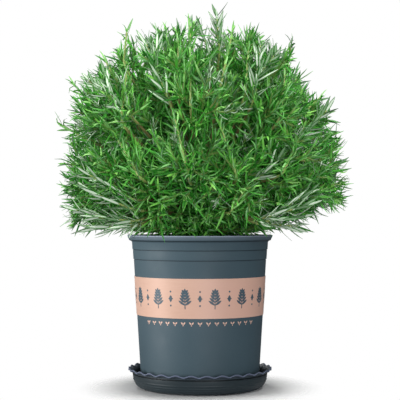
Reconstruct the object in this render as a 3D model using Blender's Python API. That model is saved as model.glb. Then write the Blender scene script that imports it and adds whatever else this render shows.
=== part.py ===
# A rosemary bush in a plastic nursery pot, standing on its saucer.
#
# Everything is in metres, with +Z up. The origin is the middle of the saucer's flat underside.

import math
import random

import bmesh
import bpy
from mathutils import Vector

# Clearance left wherever one piece touches the next.
GAP = 0.0003

# Saucer: a shallow round dish with a wavy edge.
SAUCER_BASE_RADIUS = 0.066
SAUCER_WALL_RADIUS = 0.0785
SAUCER_EDGE_RADIUS = 0.0836
SAUCER_HEIGHT = 0.0240
SAUCER_WALL = 0.0018
SAUCER_FLOOR = 0.002
SAUCER_BOW_STEPS = 3
FLANGE_DEPTH = 0.0035
FLANGE_SLOPE = 0.0012
FLANGE_EDGE = 0.0006
FLANGE_INSET = 0.0004
SCALLOPS = 30
SCALLOP_RISE = 0.0011
SCALLOP_STEPS = 4

# Pot: a tapered nursery pot, with two step rings under a flared lip.
POT_BASE_Z = SAUCER_FLOOR + GAP
POT_TOP_Z = 0.178
POT_BASE_RADIUS = 0.0684
POT_TAPER = 0.0606
POT_WALL = 0.0018
POT_FLOOR = 0.0025
POT_FOOT_WIDTH = 0.008
POT_FOOT_HEIGHT = 0.003
POT_FOOT_BEVEL = 0.001
POT_CORNER = 0.005
POT_CORNER_STEPS = 3
POT_INNER_CORNER = 0.002
STEP_RINGS_Z = (0.1500, 0.1612)
STEP_DEPTH = 0.0005
LIP_RADIUS = 0.085
LIP_DROP = 0.0062
LIP_FLARE = 0.0015
LIP_UNDERCUT = 0.0019
LIP_ROUND = 0.0009
LIP_ROUND_STEPS = 2
MOUTH_BEVEL_WIDTH = 0.001
MOUTH_BEVEL_DEPTH = 0.002
DRAIN_HOLES = 6
DRAIN_RADIUS = 0.0045
DRAIN_CIRCLE = 0.044
DRAIN_SIDES = 12
DRAIN_CUT = 0.020
TURNED_STEPS = 48

# Foil band round the pot's wall.
BAND_BOTTOM_Z = 0.0858
BAND_TOP_Z = 0.1303
BAND_THICKNESS = 0.0003

# Potting soil, with a hole for the trunk.
SOIL_TOP_Z = 0.160
SOIL_CROWN = 0.003
SOIL_COLLAR = 0.016
SOIL_CORNER = 0.0025
TRUNK_DEPTH = 0.030

# Bush: a woody burl on a short trunk, and every shoot points away from the burl's centre.
# The burl is a ball of triangles, and its trunk grows from the five round the lowest corner.
BUSH_CENTRE = Vector((0.0, 0.0, 0.188))
BURL_RADIUS = 0.016
BURL_CUTS = 2
TRUNK_SPREAD = math.atan((math.sqrt(5.0) - 1.0) / 2.0)
LOWEST_SHOOT = math.radians(-6.0)
AIM_JITTER = 0.035
BUSH_SEED = 7

# Outline of the crown: its radius from the centre at the side and straight up.
CROWN_SIDE = 0.169
CROWN_TOP = 0.252
CROWN_POWER = 1.4
CROWN_JITTER = 0.045

# The bush arches: it is lifted halfway out and comes back down at its edge.
ARCH_LIFT = 0.016
ARCH_SPAN = 0.170

# Shoots: square stems with leaves in opposite pairs, each pair across the last one.
STEM_WIDTH = 0.0026
STEM_TIP_WIDTH = 0.0014
LEAF_PAIRS = 6
LEAF_BASE = 0.0028
LEAF_TIP_SCALE = 0.22
LEAF_ANGLE_LOW = math.radians(62.0)
LEAF_ANGLE_TIP = math.radians(30.0)
LEAF_LONGEST = 0.027
LEAF_CLEARANCE = 0.90
FIRST_PAIR = 0.074
LOWER_TIER = math.radians(24.0)
MIDDLE_TIER = math.radians(52.0)


def clear_scene():
    for item in list(bpy.data.objects):
        bpy.data.objects.remove(item, do_unlink=True)


def make_material(name, colour, roughness, metallic=0.0):
    found = bpy.data.materials.new(name)
    found.use_nodes = True
    shader = found.node_tree.nodes["Principled BSDF"]
    shader.inputs["Base Color"].default_value = (*colour, 1.0)
    shader.inputs["Roughness"].default_value = roughness
    shader.inputs["Metallic"].default_value = metallic
    return found


def add_object(name, bm, finish, sharp_degrees=40.0):
    mesh = bpy.data.meshes.new(name)
    bm.to_mesh(mesh)
    bm.free()
    mesh.materials.append(finish)
    mesh.shade_smooth()
    mesh.set_sharp_from_angle(angle=math.radians(sharp_degrees))
    piece = bpy.data.objects.new(name, mesh)
    bpy.context.collection.objects.link(piece)
    return piece


def arc(centre_r, centre_z, radius, start, end, steps):
    # Points on a round corner of an outline, from one angle to another, in degrees.
    found = []
    for i in range(steps + 1):
        angle = math.radians(start + (end - start) * i / steps)
        found.append((centre_r + radius * math.cos(angle), centre_z + radius * math.sin(angle)))
    return found


def turned(outline, closed, steps):
    # Turns an outline of (radius, height) points about the Z axis.
    bm = bmesh.new()
    corners = [bm.verts.new((r, 0.0, z)) for r, z in outline]
    pairs = list(zip(corners, corners[1:]))
    if closed:
        pairs.append((corners[-1], corners[0]))
    edges = [bm.edges.new(pair) for pair in pairs]
    bmesh.ops.spin(
        bm,
        geom=corners + edges,
        cent=(0.0, 0.0, 0.0),
        axis=(0.0, 0.0, 1.0),
        angle=math.tau,
        steps=steps,
        use_merge=True,
    )
    bmesh.ops.remove_doubles(bm, verts=bm.verts, dist=1e-6)
    bmesh.ops.recalc_face_normals(bm, faces=bm.faces)
    return bm


def make_saucer(finish):
    # The wall bows outwards from the base, and carries a flange with the wavy edge.
    edge_z = SAUCER_HEIGHT - SCALLOP_RISE
    under_z = edge_z - FLANGE_DEPTH
    bow_r = SAUCER_WALL_RADIUS - SAUCER_BASE_RADIUS
    bow = []
    for i in range(SAUCER_BOW_STEPS + 1):
        angle = math.pi / 2.0 * i / SAUCER_BOW_STEPS
        bow.append((SAUCER_BASE_RADIUS + bow_r * math.sin(angle), under_z * (1.0 - math.cos(angle))))
    squeeze = 1.0 - SAUCER_FLOOR / under_z
    inner = [(r - SAUCER_WALL, SAUCER_FLOOR + z * squeeze) for r, z in reversed(bow)]
    outline = [(0.0, 0.0)] + bow
    outline.append((SAUCER_EDGE_RADIUS - FLANGE_EDGE, edge_z - FLANGE_SLOPE))
    outline.append((SAUCER_EDGE_RADIUS, edge_z))
    outline.append((SAUCER_WALL_RADIUS - FLANGE_INSET, edge_z - FLANGE_SLOPE))
    outline += inner
    outline.append((0.0, SAUCER_FLOOR))
    bm = turned(outline, closed=False, steps=SCALLOPS * SCALLOP_STEPS)
    for vert in bm.verts:
        out = (vert.co.xy.length - SAUCER_WALL_RADIUS) / (SAUCER_EDGE_RADIUS - SAUCER_WALL_RADIUS)
        turn = math.atan2(vert.co.y, vert.co.x)
        vert.co.z += max(0.0, out) * SCALLOP_RISE * math.cos(SCALLOPS * turn)
    return add_object("saucer", bm, finish, sharp_degrees=30.0)


def pot_radius(z):
    # Outer radius of the pot's wall, with the step rings it has passed.
    passed = sum(1 for ring_z in STEP_RINGS_Z if z > ring_z)
    return POT_BASE_RADIUS + POT_TAPER * (z - POT_BASE_Z) + STEP_DEPTH * passed


def pot_inner_radius(z):
    # The inside is a plain cone, so the steps only thicken the wall.
    return POT_BASE_RADIUS + POT_TAPER * (z - POT_BASE_Z) - POT_WALL


def pot_outline():
    foot_r = POT_BASE_RADIUS - POT_FOOT_WIDTH
    floor_z = POT_BASE_Z + POT_FOOT_HEIGHT
    corner_z = POT_BASE_Z + POT_CORNER
    corner_r = pot_radius(corner_z) - POT_CORNER
    points = [(0.0, floor_z), (foot_r, floor_z), (foot_r + POT_FOOT_BEVEL, POT_BASE_Z)]
    points += arc(corner_r, corner_z, POT_CORNER, -90.0, 0.0, POT_CORNER_STEPS)
    for ring_z in STEP_RINGS_Z:
        points.append((pot_radius(ring_z), ring_z))
        points.append((pot_radius(ring_z + STEP_DEPTH), ring_z + STEP_DEPTH))
    skirt_z = POT_TOP_Z - LIP_DROP
    points.append((pot_radius(skirt_z - LIP_FLARE), skirt_z - LIP_FLARE))
    points.append((LIP_RADIUS - LIP_UNDERCUT, skirt_z))
    points += arc(LIP_RADIUS - LIP_ROUND, POT_TOP_Z - LIP_ROUND, LIP_ROUND, 0.0, 90.0, LIP_ROUND_STEPS)
    mouth_z = POT_TOP_Z - MOUTH_BEVEL_DEPTH
    points.append((pot_inner_radius(mouth_z) + MOUTH_BEVEL_WIDTH, POT_TOP_Z))
    points.append((pot_inner_radius(mouth_z), mouth_z))
    inside_z = floor_z + POT_FLOOR
    round_z = inside_z + POT_INNER_CORNER
    points.append((pot_inner_radius(round_z), round_z))
    points.append((pot_inner_radius(inside_z) - POT_INNER_CORNER, inside_z))
    points.append((0.0, inside_z))
    return points


def drain_cutter():
    # All the drain holes' round bars, as one cutting object.
    floor_middle_z = POT_BASE_Z + POT_FOOT_HEIGHT + POT_FLOOR / 2.0
    bm = bmesh.new()
    for i in range(DRAIN_HOLES):
        angle = math.tau * (i + 0.5) / DRAIN_HOLES
        made = bmesh.ops.create_cone(
            bm,
            cap_ends=True,
            segments=DRAIN_SIDES,
            radius1=DRAIN_RADIUS,
            radius2=DRAIN_RADIUS,
            depth=DRAIN_CUT,
        )
        middle = Vector((DRAIN_CIRCLE * math.cos(angle), DRAIN_CIRCLE * math.sin(angle), floor_middle_z))
        bmesh.ops.translate(bm, verts=made["verts"], vec=middle)
    mesh = bpy.data.meshes.new("drain_cutter")
    bm.to_mesh(mesh)
    bm.free()
    cutter = bpy.data.objects.new("drain_cutter", mesh)
    cutter.hide_render = True
    cutter.display_type = "WIRE"
    bpy.context.collection.objects.link(cutter)
    return cutter


def make_pot(finish):
    pot = add_object("pot_body", turned(pot_outline(), closed=False, steps=TURNED_STEPS), finish)
    cut = pot.modifiers.new("drain_holes", "BOOLEAN")
    cut.operation = "DIFFERENCE"
    cut.solver = "EXACT"
    cut.object = drain_cutter()
    return pot


def make_band(finish):
    low_r = pot_radius(BAND_BOTTOM_Z) + GAP
    high_r = pot_radius(BAND_TOP_Z) + GAP
    outline = [
        (low_r, BAND_BOTTOM_Z),
        (low_r + BAND_THICKNESS, BAND_BOTTOM_Z),
        (high_r + BAND_THICKNESS, BAND_TOP_Z),
        (high_r, BAND_TOP_Z),
    ]
    return add_object("label_band", turned(outline, closed=True, steps=TURNED_STEPS), finish)


def make_soil(finish):
    # The soil fills the pot's inside, and the hole down its middle clears the trunk all round.
    bottom_z = POT_BASE_Z + POT_FOOT_HEIGHT + POT_FLOOR + GAP
    side_r = pot_inner_radius(bottom_z + SOIL_CORNER) - GAP
    top_r = pot_inner_radius(SOIL_TOP_Z) - GAP
    hole_r = BURL_RADIUS * math.sin(TRUNK_SPREAD) + 2.0 * GAP
    hole_z = SOIL_TOP_Z - TRUNK_DEPTH - GAP
    outline = [
        (0.0, bottom_z),
        (side_r - SOIL_CORNER, bottom_z),
        (side_r, bottom_z + SOIL_CORNER),
        (top_r, SOIL_TOP_Z),
        (hole_r + SOIL_COLLAR, SOIL_TOP_Z + SOIL_CROWN),
        (hole_r, SOIL_TOP_Z + SOIL_CROWN),
        (hole_r, hole_z),
        (0.0, hole_z),
    ]
    return add_object("potting_soil", turned(outline, closed=False, steps=TURNED_STEPS), finish)


def arched(point):
    # Where a point of the straight, radiating bush lies once the bush has arched over.
    out = min(point.xy.length / ARCH_SPAN, 1.0)
    return Vector((point.x, point.y, point.z + ARCH_LIFT * math.sin(math.pi * out) ** 2))


def arch_over(bm):
    for vert in bm.verts:
        vert.co = arched(vert.co)


def extrude_to(bm, face, centre, scale):
    # Extrudes one face, and puts the new one round a centre at a scale of the old one.
    new_face = bmesh.ops.extrude_discrete_faces(bm, faces=[face])["faces"][0]
    middle = new_face.calc_center_median()
    for vert in new_face.verts:
        vert.co = centre + (vert.co - middle) * scale
    return new_face


def elevation(direction):
    return math.asin(max(-1.0, min(1.0, direction.z)))


def crown_reach(direction, jitter):
    rise = max(0.0, direction.z) ** CROWN_POWER
    return (CROWN_SIDE + (CROWN_TOP - CROWN_SIDE) * rise) * (1.0 + jitter)


def make_woody_base(finish, chance):
    # A burl on its trunk. Returns the directions of the shoots, one for each upper face.
    bm = bmesh.new()
    bmesh.ops.create_icosphere(bm, subdivisions=BURL_CUTS, radius=BURL_RADIUS)
    directions = []
    for face in bm.faces:
        outward = face.calc_center_median().normalized()
        if elevation(outward) > LOWEST_SHOOT:
            wander = Vector([chance.uniform(-AIM_JITTER, AIM_JITTER) for _ in range(3)])
            directions.append((outward + wander).normalized())
    bmesh.ops.translate(bm, verts=bm.verts, vec=BUSH_CENTRE)
    lowest = min(bm.verts, key=lambda vert: vert.co.z)
    seat = bmesh.ops.dissolve_faces(bm, faces=list(lowest.link_faces))["region"][0]
    extrude_to(bm, seat, Vector((0.0, 0.0, SOIL_TOP_Z - TRUNK_DEPTH)), 1.0)
    bmesh.ops.recalc_face_normals(bm, faces=bm.faces)
    add_object("woody_base", bm, finish)
    return directions


def half_gap(direction, others):
    # Half the angle to the nearest other shoot: the cone that this shoot may fill.
    return min(direction.angle(other) for other in others if other is not direction) / 2.0


def make_shoot(name, direction, reach, cone, spin, finish):
    # Built straight from the bush's centre, then arched over with the rest.
    across = direction.orthogonal().normalized()
    over = direction.cross(across)
    turns = [spin + math.pi / 2.0 * i for i in range(4)]
    sides = [across * math.cos(turn) + over * math.sin(turn) for turn in turns]
    tip_at = reach - LEAF_LONGEST * math.cos(LEAF_ANGLE_TIP)
    spacing = (tip_at - FIRST_PAIR) / (LEAF_PAIRS - 1)
    shrink = (STEM_TIP_WIDTH / STEM_WIDTH) ** (1.0 / LEAF_PAIRS)
    start = BURL_RADIUS + GAP
    bm = bmesh.new()
    foot = [direction * start + (sides[i] + sides[i - 1]) * STEM_WIDTH / 2.0 for i in range(4)]
    sole = bm.faces.new([bm.verts.new(place) for place in foot])
    stem = bmesh.ops.extrude_face_region(bm, geom=[sole], use_keep_orig=True)
    cap = next(item for item in stem["geom"] if isinstance(item, bmesh.types.BMFace))
    bmesh.ops.translate(bm, verts=cap.verts, vec=direction * (FIRST_PAIR - LEAF_BASE - start))
    for pair in range(LEAF_PAIRS):
        at = FIRST_PAIR + spacing * pair
        if pair:
            cap = extrude_to(bm, cap, direction * (at - LEAF_BASE), shrink)
        cap = extrude_to(bm, cap, direction * at, 1.0)
        walls = [f for edge in cap.edges for f in edge.link_faces if f is not cap]
        angle = LEAF_ANGLE_LOW + (LEAF_ANGLE_TIP - LEAF_ANGLE_LOW) * pair / (LEAF_PAIRS - 1)
        spread = math.sin(angle) - math.cos(angle) * math.tan(cone)
        length = min(LEAF_LONGEST, LEAF_CLEARANCE * at * math.tan(cone) / spread)
        pair_sides = (sides[pair % 2], sides[pair % 2 + 2])
        bearing = [max(walls, key=lambda f: f.calc_center_median().dot(side)) for side in pair_sides]
        for side, wall in zip(pair_sides, bearing):
            end = direction * (at + length * math.cos(angle)) + side * length * math.sin(angle)
            extrude_to(bm, wall, end, LEAF_TIP_SCALE)
    extrude_to(bm, cap, direction * reach, LEAF_TIP_SCALE)
    bmesh.ops.translate(bm, verts=bm.verts, vec=BUSH_CENTRE)
    arch_over(bm)
    bmesh.ops.recalc_face_normals(bm, faces=bm.faces)
    return add_object(name, bm, finish, sharp_degrees=20.0)


def tier_of(direction):
    if elevation(direction) < LOWER_TIER:
        return "lower_shoot"
    if elevation(direction) < MIDDLE_TIER:
        return "middle_shoot"
    return "upper_shoot"


def make_bush(bark, leaf):
    chance = random.Random(BUSH_SEED)
    directions = make_woody_base(bark, chance)
    counts = {}
    for direction in sorted(directions, key=lambda d: (d.z, math.atan2(d.y, d.x))):
        tier = tier_of(direction)
        counts[tier] = counts.get(tier, 0) + 1
        name = f"{tier}_{counts[tier]:02d}"
        reach = crown_reach(direction, chance.uniform(-CROWN_JITTER, CROWN_JITTER))
        cone = half_gap(direction, directions)
        make_shoot(name, direction, reach, cone, chance.uniform(0.0, math.pi / 2.0), leaf)


def main():
    clear_scene()
    make_saucer(make_material("saucer_plastic", (0.055, 0.072, 0.074), 0.42))
    make_pot(make_material("pot_plastic", (0.085, 0.125, 0.158), 0.38))
    make_band(make_material("rose_gold_foil", (0.76, 0.47, 0.34), 0.33, 1.0))
    make_soil(make_material("potting_soil", (0.035, 0.022, 0.015), 0.95))
    bark = make_material("bark", (0.16, 0.10, 0.06), 0.85)
    leaf = make_material("rosemary_leaf", (0.075, 0.19, 0.055), 0.5)
    make_bush(bark, leaf)


main()
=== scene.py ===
import math
import random

import bmesh
import bpy
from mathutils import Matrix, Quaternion, Vector


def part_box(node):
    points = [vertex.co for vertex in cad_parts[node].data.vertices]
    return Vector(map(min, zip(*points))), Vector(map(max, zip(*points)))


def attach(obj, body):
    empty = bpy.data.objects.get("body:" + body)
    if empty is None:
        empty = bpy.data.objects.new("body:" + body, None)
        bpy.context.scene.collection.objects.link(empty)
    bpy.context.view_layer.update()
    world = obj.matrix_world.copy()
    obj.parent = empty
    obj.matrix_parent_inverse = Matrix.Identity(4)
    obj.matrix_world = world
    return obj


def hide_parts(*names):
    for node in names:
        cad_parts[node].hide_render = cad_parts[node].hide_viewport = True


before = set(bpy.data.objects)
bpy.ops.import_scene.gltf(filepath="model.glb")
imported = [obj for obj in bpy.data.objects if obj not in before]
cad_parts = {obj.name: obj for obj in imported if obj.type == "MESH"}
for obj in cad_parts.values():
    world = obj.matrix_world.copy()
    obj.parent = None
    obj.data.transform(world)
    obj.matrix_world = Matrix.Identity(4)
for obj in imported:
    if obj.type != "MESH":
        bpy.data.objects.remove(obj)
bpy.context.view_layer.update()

scene = bpy.context.scene
scene.view_settings.view_transform = "Standard"
body = "root"

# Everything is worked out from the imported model's own boxes, in metres.
potLow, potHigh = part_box("pot_body")
bandLow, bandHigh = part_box("label_band")
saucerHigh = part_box("saucer")[1]
soilLow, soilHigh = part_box("potting_soil")
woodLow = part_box("woody_base")[0]


def add(tree, kind, inputs=None, **settings):
    # one node, with its settings, and each input a plain value or another node's output
    made = tree.nodes.new(kind)
    for name, value in settings.items():
        setattr(made, name, value)
    for key, value in (inputs or {}).items():
        if isinstance(value, bpy.types.NodeSocket):
            tree.links.new(value, made.inputs[key])
        else:
            made.inputs[key].default_value = value
    return made


def calc(tree, operation, *values, clamp=False):
    made = add(tree, "ShaderNodeMath", dict(enumerate(values)), operation=operation, use_clamp=clamp)
    return made.outputs[0]


def times(tree, first, *others):
    made = first
    for value in others:
        made = calc(tree, "MULTIPLY", made, value)
    return made


def plus(tree, one, other):
    return calc(tree, "ADD", one, other)


def minus(tree, one, other):
    return calc(tree, "SUBTRACT", one, other)


def combined(tree, **parts):
    return add(tree, "ShaderNodeCombineXYZ", parts).outputs[0]


def newTree(name, values):
    # a tree that takes and gives geometry, with a named input for each value
    tree = bpy.data.node_groups.new(name, "GeometryNodeTree")
    tree.interface.new_socket("Geometry", in_out="INPUT", socket_type="NodeSocketGeometry")
    for label, value in values.items():
        kind = "NodeSocketInt" if isinstance(value, int) else "NodeSocketFloat"
        tree.interface.new_socket(label, in_out="INPUT", socket_type=kind).default_value = value
    tree.interface.new_socket("Geometry", in_out="OUTPUT", socket_type="NodeSocketGeometry")
    return tree, tree.nodes.new("NodeGroupInput").outputs, tree.nodes.new("NodeGroupOutput").inputs


def named(tree, name):
    return add(tree, "GeometryNodeInputNamedAttribute", {"Name": name}, data_type="FLOAT").outputs[0]


def stored(tree, geometry, name, value):
    inputs = {"Geometry": geometry, "Name": name, "Value": value}
    return add(tree, "GeometryNodeStoreNamedAttribute", inputs, data_type="FLOAT").outputs[0]


def shifted(tree, geometry, **where):
    return add(tree, "GeometryNodeSetPosition", {"Geometry": geometry, **where}).outputs[0]


def realized(tree, instances):
    return add(tree, "GeometryNodeRealizeInstances", {"Geometry": instances}).outputs[0]


def painted(tree, geometry, material):
    return add(tree, "GeometryNodeSetMaterial", {"Geometry": geometry, "Material": material}).outputs[0]


def joined(tree, *parts):
    made = add(tree, "GeometryNodeJoinGeometry")
    for part in parts:
        tree.links.new(part, made.inputs[0])
    return made.outputs[0]


def swept(tree, lines, corners):
    # a tube along each line, as wide as its "sizes" attribute says
    ring = add(tree, "GeometryNodeCurvePrimitiveCircle", {"Resolution": corners, "Radius": 1.0}).outputs[0]
    inputs = {"Curve": lines, "Profile Curve": ring, "Scale": named(tree, "sizes"), "Fill Caps": True}
    return add(tree, "GeometryNodeCurveToMesh", inputs).outputs[0]


def positionParts(tree):
    return add(tree, "ShaderNodeSeparateXYZ", {0: add(tree, "GeometryNodeInputPosition").outputs[0]}).outputs


def distanceOut(tree, place):
    # how far a place is from the Z axis
    across = times(tree, place["X"], place["X"])
    return calc(tree, "SQRT", calc(tree, "MULTIPLY_ADD", place["Y"], place["Y"], across))


def chanceValue(tree, low, high, seed):
    made = add(tree, "FunctionNodeRandomValue", {2: low, 3: high, "Seed": seed}, data_type="FLOAT")
    return made.outputs[1]


def grown(name, mesh, tree, values):
    # runs a tree on a mesh, and returns the result as a plain object
    seed = bpy.data.objects.new(name + "Seed", mesh)
    scene.collection.objects.link(seed)
    step = seed.modifiers.new("grow", "NODES")
    step.node_group = tree
    for item in tree.interface.items_tree:
        if item.item_type == "SOCKET" and item.in_out == "INPUT" and item.name in values:
            step[item.identifier] = values[item.name]
    graph = bpy.context.evaluated_depsgraph_get()
    result = bpy.data.meshes.new_from_object(
        seed.evaluated_get(graph), preserve_all_data_layers=True, depsgraph=graph
    )
    bpy.data.objects.remove(seed)
    if len(result.materials) > 1 and result.materials[0] is None:
        result.materials.pop(index=0)    # the seed's own empty slot
    result.name = name
    piece = bpy.data.objects.new(name, result)
    scene.collection.objects.link(piece)
    return piece


def newMaterial(name, roughness=0.5, metallic=0.0, specular=0.5):
    made = bpy.data.materials.new(name)
    made.use_nodes = True
    shader = made.node_tree.nodes["Principled BSDF"]
    shader.inputs["Roughness"].default_value = roughness
    shader.inputs["Metallic"].default_value = metallic
    shader.inputs["Specular IOR Level"].default_value = specular
    return made, made.node_tree, shader.inputs


def objectPlace(tree):
    return add(tree, "ShaderNodeTexCoord").outputs["Object"]


def objectParts(tree):
    return add(tree, "ShaderNodeSeparateXYZ", {0: objectPlace(tree)}).outputs


def squashedPlace(tree, scale):
    return add(tree, "ShaderNodeMapping", {"Vector": objectPlace(tree), "Scale": scale}).outputs[0]


def noise(tree, scale, detail=3.0, roughness=0.5, vector=None):
    place = vector if vector is not None else objectPlace(tree)
    inputs = {"Vector": place, "Scale": scale, "Detail": detail, "Roughness": roughness}
    return add(tree, "ShaderNodeTexNoise", inputs).outputs["Fac"]


def ramp(tree, factor, stops):
    made = add(tree, "ShaderNodeValToRGB", {"Fac": factor})
    line = made.color_ramp
    for i, (place, colour) in enumerate(stops):
        stop = line.elements[i] if i < 2 else line.elements.new(place)
        stop.position = place
        stop.color = (*colour, 1.0)
    return made.outputs["Color"]


def mixed(tree, factor, one, other):
    made = add(tree, "ShaderNodeMix", {0: factor}, data_type="RGBA")
    for socket, value in ((made.inputs[6], one), (made.inputs[7], other)):
        if isinstance(value, bpy.types.NodeSocket):
            tree.links.new(value, socket)
        else:
            socket.default_value = (*value, 1.0)
    return made.outputs[2]


def tinted(tree, colour, mask, amount, other):
    return mixed(tree, times(tree, mask, amount), colour, other)


def spread(tree, value, low, high, toLow=0.0, toHigh=1.0, smooth=False):
    inputs = {"Value": value, "From Min": low, "From Max": high, "To Min": toLow, "To Max": toHigh}
    kind = "SMOOTHSTEP" if smooth else "LINEAR"
    return add(tree, "ShaderNodeMapRange", inputs, interpolation_type=kind).outputs["Result"]


def patchy(tree, scale, detail, one, other):
    # drifts between two colours
    return mixed(tree, spread(tree, noise(tree, scale, detail), 0.3, 0.7), one, other)


def bumped(tree, sockets, height, strength, distance):
    made = add(tree, "ShaderNodeBump", {"Height": height, "Strength": strength, "Distance": distance})
    tree.links.new(made.outputs["Normal"], sockets["Normal"])


def attribute(tree, name):
    return add(tree, "ShaderNodeAttribute", attribute_name=name).outputs["Fac"]


def arc(centreR, centreZ, radius, start, end, steps):
    # points on a round corner, from one angle to another, in degrees
    angles = [math.radians(start + (end - start) * i / steps) for i in range(steps + 1)]
    return [(centreR + radius * math.cos(a), centreZ + radius * math.sin(a)) for a in angles]


def meshFrom(bm, name):
    mesh = bpy.data.meshes.new(name)
    bm.to_mesh(mesh)
    bm.free()
    return mesh


def turned(name, outline, steps, closed=False):
    bm = bmesh.new()
    corners = [bm.verts.new((r, 0.0, z)) for r, z in outline]
    pairs = list(zip(corners, corners[1:])) + ([(corners[-1], corners[0])] if closed else [])
    edges = [bm.edges.new(pair) for pair in pairs]
    bmesh.ops.spin(
        bm, geom=corners + edges, cent=(0, 0, 0), axis=(0, 0, 1), angle=math.tau, steps=steps, use_merge=True
    )
    bmesh.ops.remove_doubles(bm, verts=bm.verts, dist=1e-6)
    bmesh.ops.recalc_face_normals(bm, faces=bm.faces)
    return meshFrom(bm, name)


def finished(piece, node, sharp=None):
    mesh = piece.data
    mesh.shade_smooth()
    if sharp is not None:
        mesh.set_sharp_from_angle(angle=math.radians(sharp))
    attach(piece, body)
    if node:
        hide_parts(node)
    return piece


def newPiece(name, mesh, material):
    mesh.materials.append(material)
    piece = bpy.data.objects.new(name, mesh)
    scene.collection.objects.link(piece)
    return piece


pot = {
    "taper": 0.0606,
    "baseRadius": 0.0684,
    "wall": 0.0018,
    "corner": 0.005,
    "footWidth": 0.008,
    "footHeight": 0.003,
    "floor": 0.0025,
    "stepHeights": (0.1500, 0.1612),
    "stepDepth": 0.0005,
    "lipDrop": 0.0062,
    "lipRound": 0.0009,
    "turns": 192,
}


def potRadius(z):
    passed = sum(1 for height in pot["stepHeights"] if z > height)
    return pot["baseRadius"] + pot["taper"] * (z - potLow.z) + pot["stepDepth"] * passed


def potInside(z):
    return pot["baseRadius"] + pot["taper"] * (z - potLow.z) - pot["wall"]


def potOutline():
    lipRadius = potHigh.x
    footRadius = pot["baseRadius"] - pot["footWidth"]
    floorZ = potLow.z + pot["footHeight"]
    corner = pot["corner"]
    points = [(0.0, floorZ), (footRadius, floorZ)]
    points += arc(footRadius + 0.0015, potLow.z + 0.001, 0.001, 180, 270, 3)
    points += arc(potRadius(potLow.z + corner) - corner, potLow.z + corner, corner, -90, 0, 8)
    for height in pot["stepHeights"]:
        # a small groove, then the wall above stands proud of the wall below
        step = pot["stepDepth"]
        points.append((potRadius(height - 0.0012), height - 0.0012))
        points.append((potRadius(height) - 0.0004, height - 0.0004))
        points.append((potRadius(height) - 0.0004, height))
        points += arc(potRadius(height + step) - step, height + step, step, -70, 0, 3)
    skirtZ = potHigh.z - pot["lipDrop"]
    points.append((potRadius(skirtZ - 0.0022), skirtZ - 0.0022))
    points.append((potRadius(skirtZ) + 0.0006, skirtZ - 0.0008))
    points += arc(lipRadius - 0.0027, skirtZ + 0.0007, 0.0007, -80, 0, 3)
    points += arc(lipRadius - pot["lipRound"], potHigh.z - pot["lipRound"], pot["lipRound"], 0, 90, 5)
    inner = potInside(potHigh.z - 0.002)
    points += arc(inner + 0.0012, potHigh.z - 0.0012, 0.0012, 90, 180, 4)
    insideZ = floorZ + pot["floor"]
    points += arc(potInside(insideZ) - 0.002, insideZ + 0.002, 0.002, 0, -90, 4)
    points.append((0.0, insideZ))
    return points


def potPlastic():
    material, tree, sockets = newMaterial("slatePotPlastic", roughness=0.55, specular=0.3)
    colour = patchy(tree, 9.0, 2.0, (0.068, 0.111, 0.138), (0.083, 0.133, 0.162))
    speck = spread(tree, noise(tree, 900.0, 2.0, 0.7), 0.62, 0.75)
    colour = tinted(tree, colour, speck, 0.16, (0.24, 0.29, 0.33))
    # painted highlight: the lip's face is painted paler, and its top edge paler still, for the light they
    # catch
    height = objectParts(tree)["Z"]
    face = spread(tree, height, potHigh.z - pot["lipDrop"], potHigh.z - pot["lipDrop"] * 0.4, smooth=True)
    colour = tinted(tree, colour, face, 0.5, (0.20, 0.25, 0.31))
    lipEdgeHighlight = spread(tree, height, potHigh.z - 0.0018, potHigh.z - 0.0006, smooth=True)
    colour = tinted(tree, colour, lipEdgeHighlight, 0.8, (0.48, 0.55, 0.70))
    # painted shade: the wall is painted darker towards the foot
    footShade = spread(tree, height, 0.11, potLow.z, 0.0, 0.30, smooth=True)
    colour = mixed(tree, footShade, colour, (0.018, 0.036, 0.046))
    # painted shade: dark bands painted under the lip and in the step grooves
    for groove, half in ((potHigh.z - pot["lipDrop"], 0.0011), *((z, 0.0008) for z in pot["stepHeights"])):
        near = calc(tree, "ABSOLUTE", minus(tree, height, groove))
        grooveShade = spread(tree, near, half, half * 0.3, smooth=True)
        colour = tinted(tree, colour, grooveShade, 0.75, (0.018, 0.028, 0.036))
    tree.links.new(colour, sockets["Base Color"])
    tree.links.new(spread(tree, noise(tree, 40.0, 4.0), 0.3, 0.7, 0.52, 0.64), sockets["Roughness"])
    bumped(tree, sockets, noise(tree, 1400.0, 2.0), 0.25, 0.00006)
    return material


def makePot(material):
    mesh = turned("pot", potOutline(), pot["turns"])
    return finished(newPiece("pot", mesh, material), "pot_body", sharp=50)


saucer = {
    "baseRadius": 0.066,
    "wallRadius": 0.0785,
    "rise": 0.0013,
    "scallops": 30,
    "turnSteps": 8,
    "wall": 0.0018,
    "floor": 0.002,
    "flangeDepth": 0.0056,
    "grooveDepth": 0.0009,
    "ribs": 4,
    "ribDepth": 0.0005,
    "firstCrest": math.radians(-90 + 5.3),
}


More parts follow.
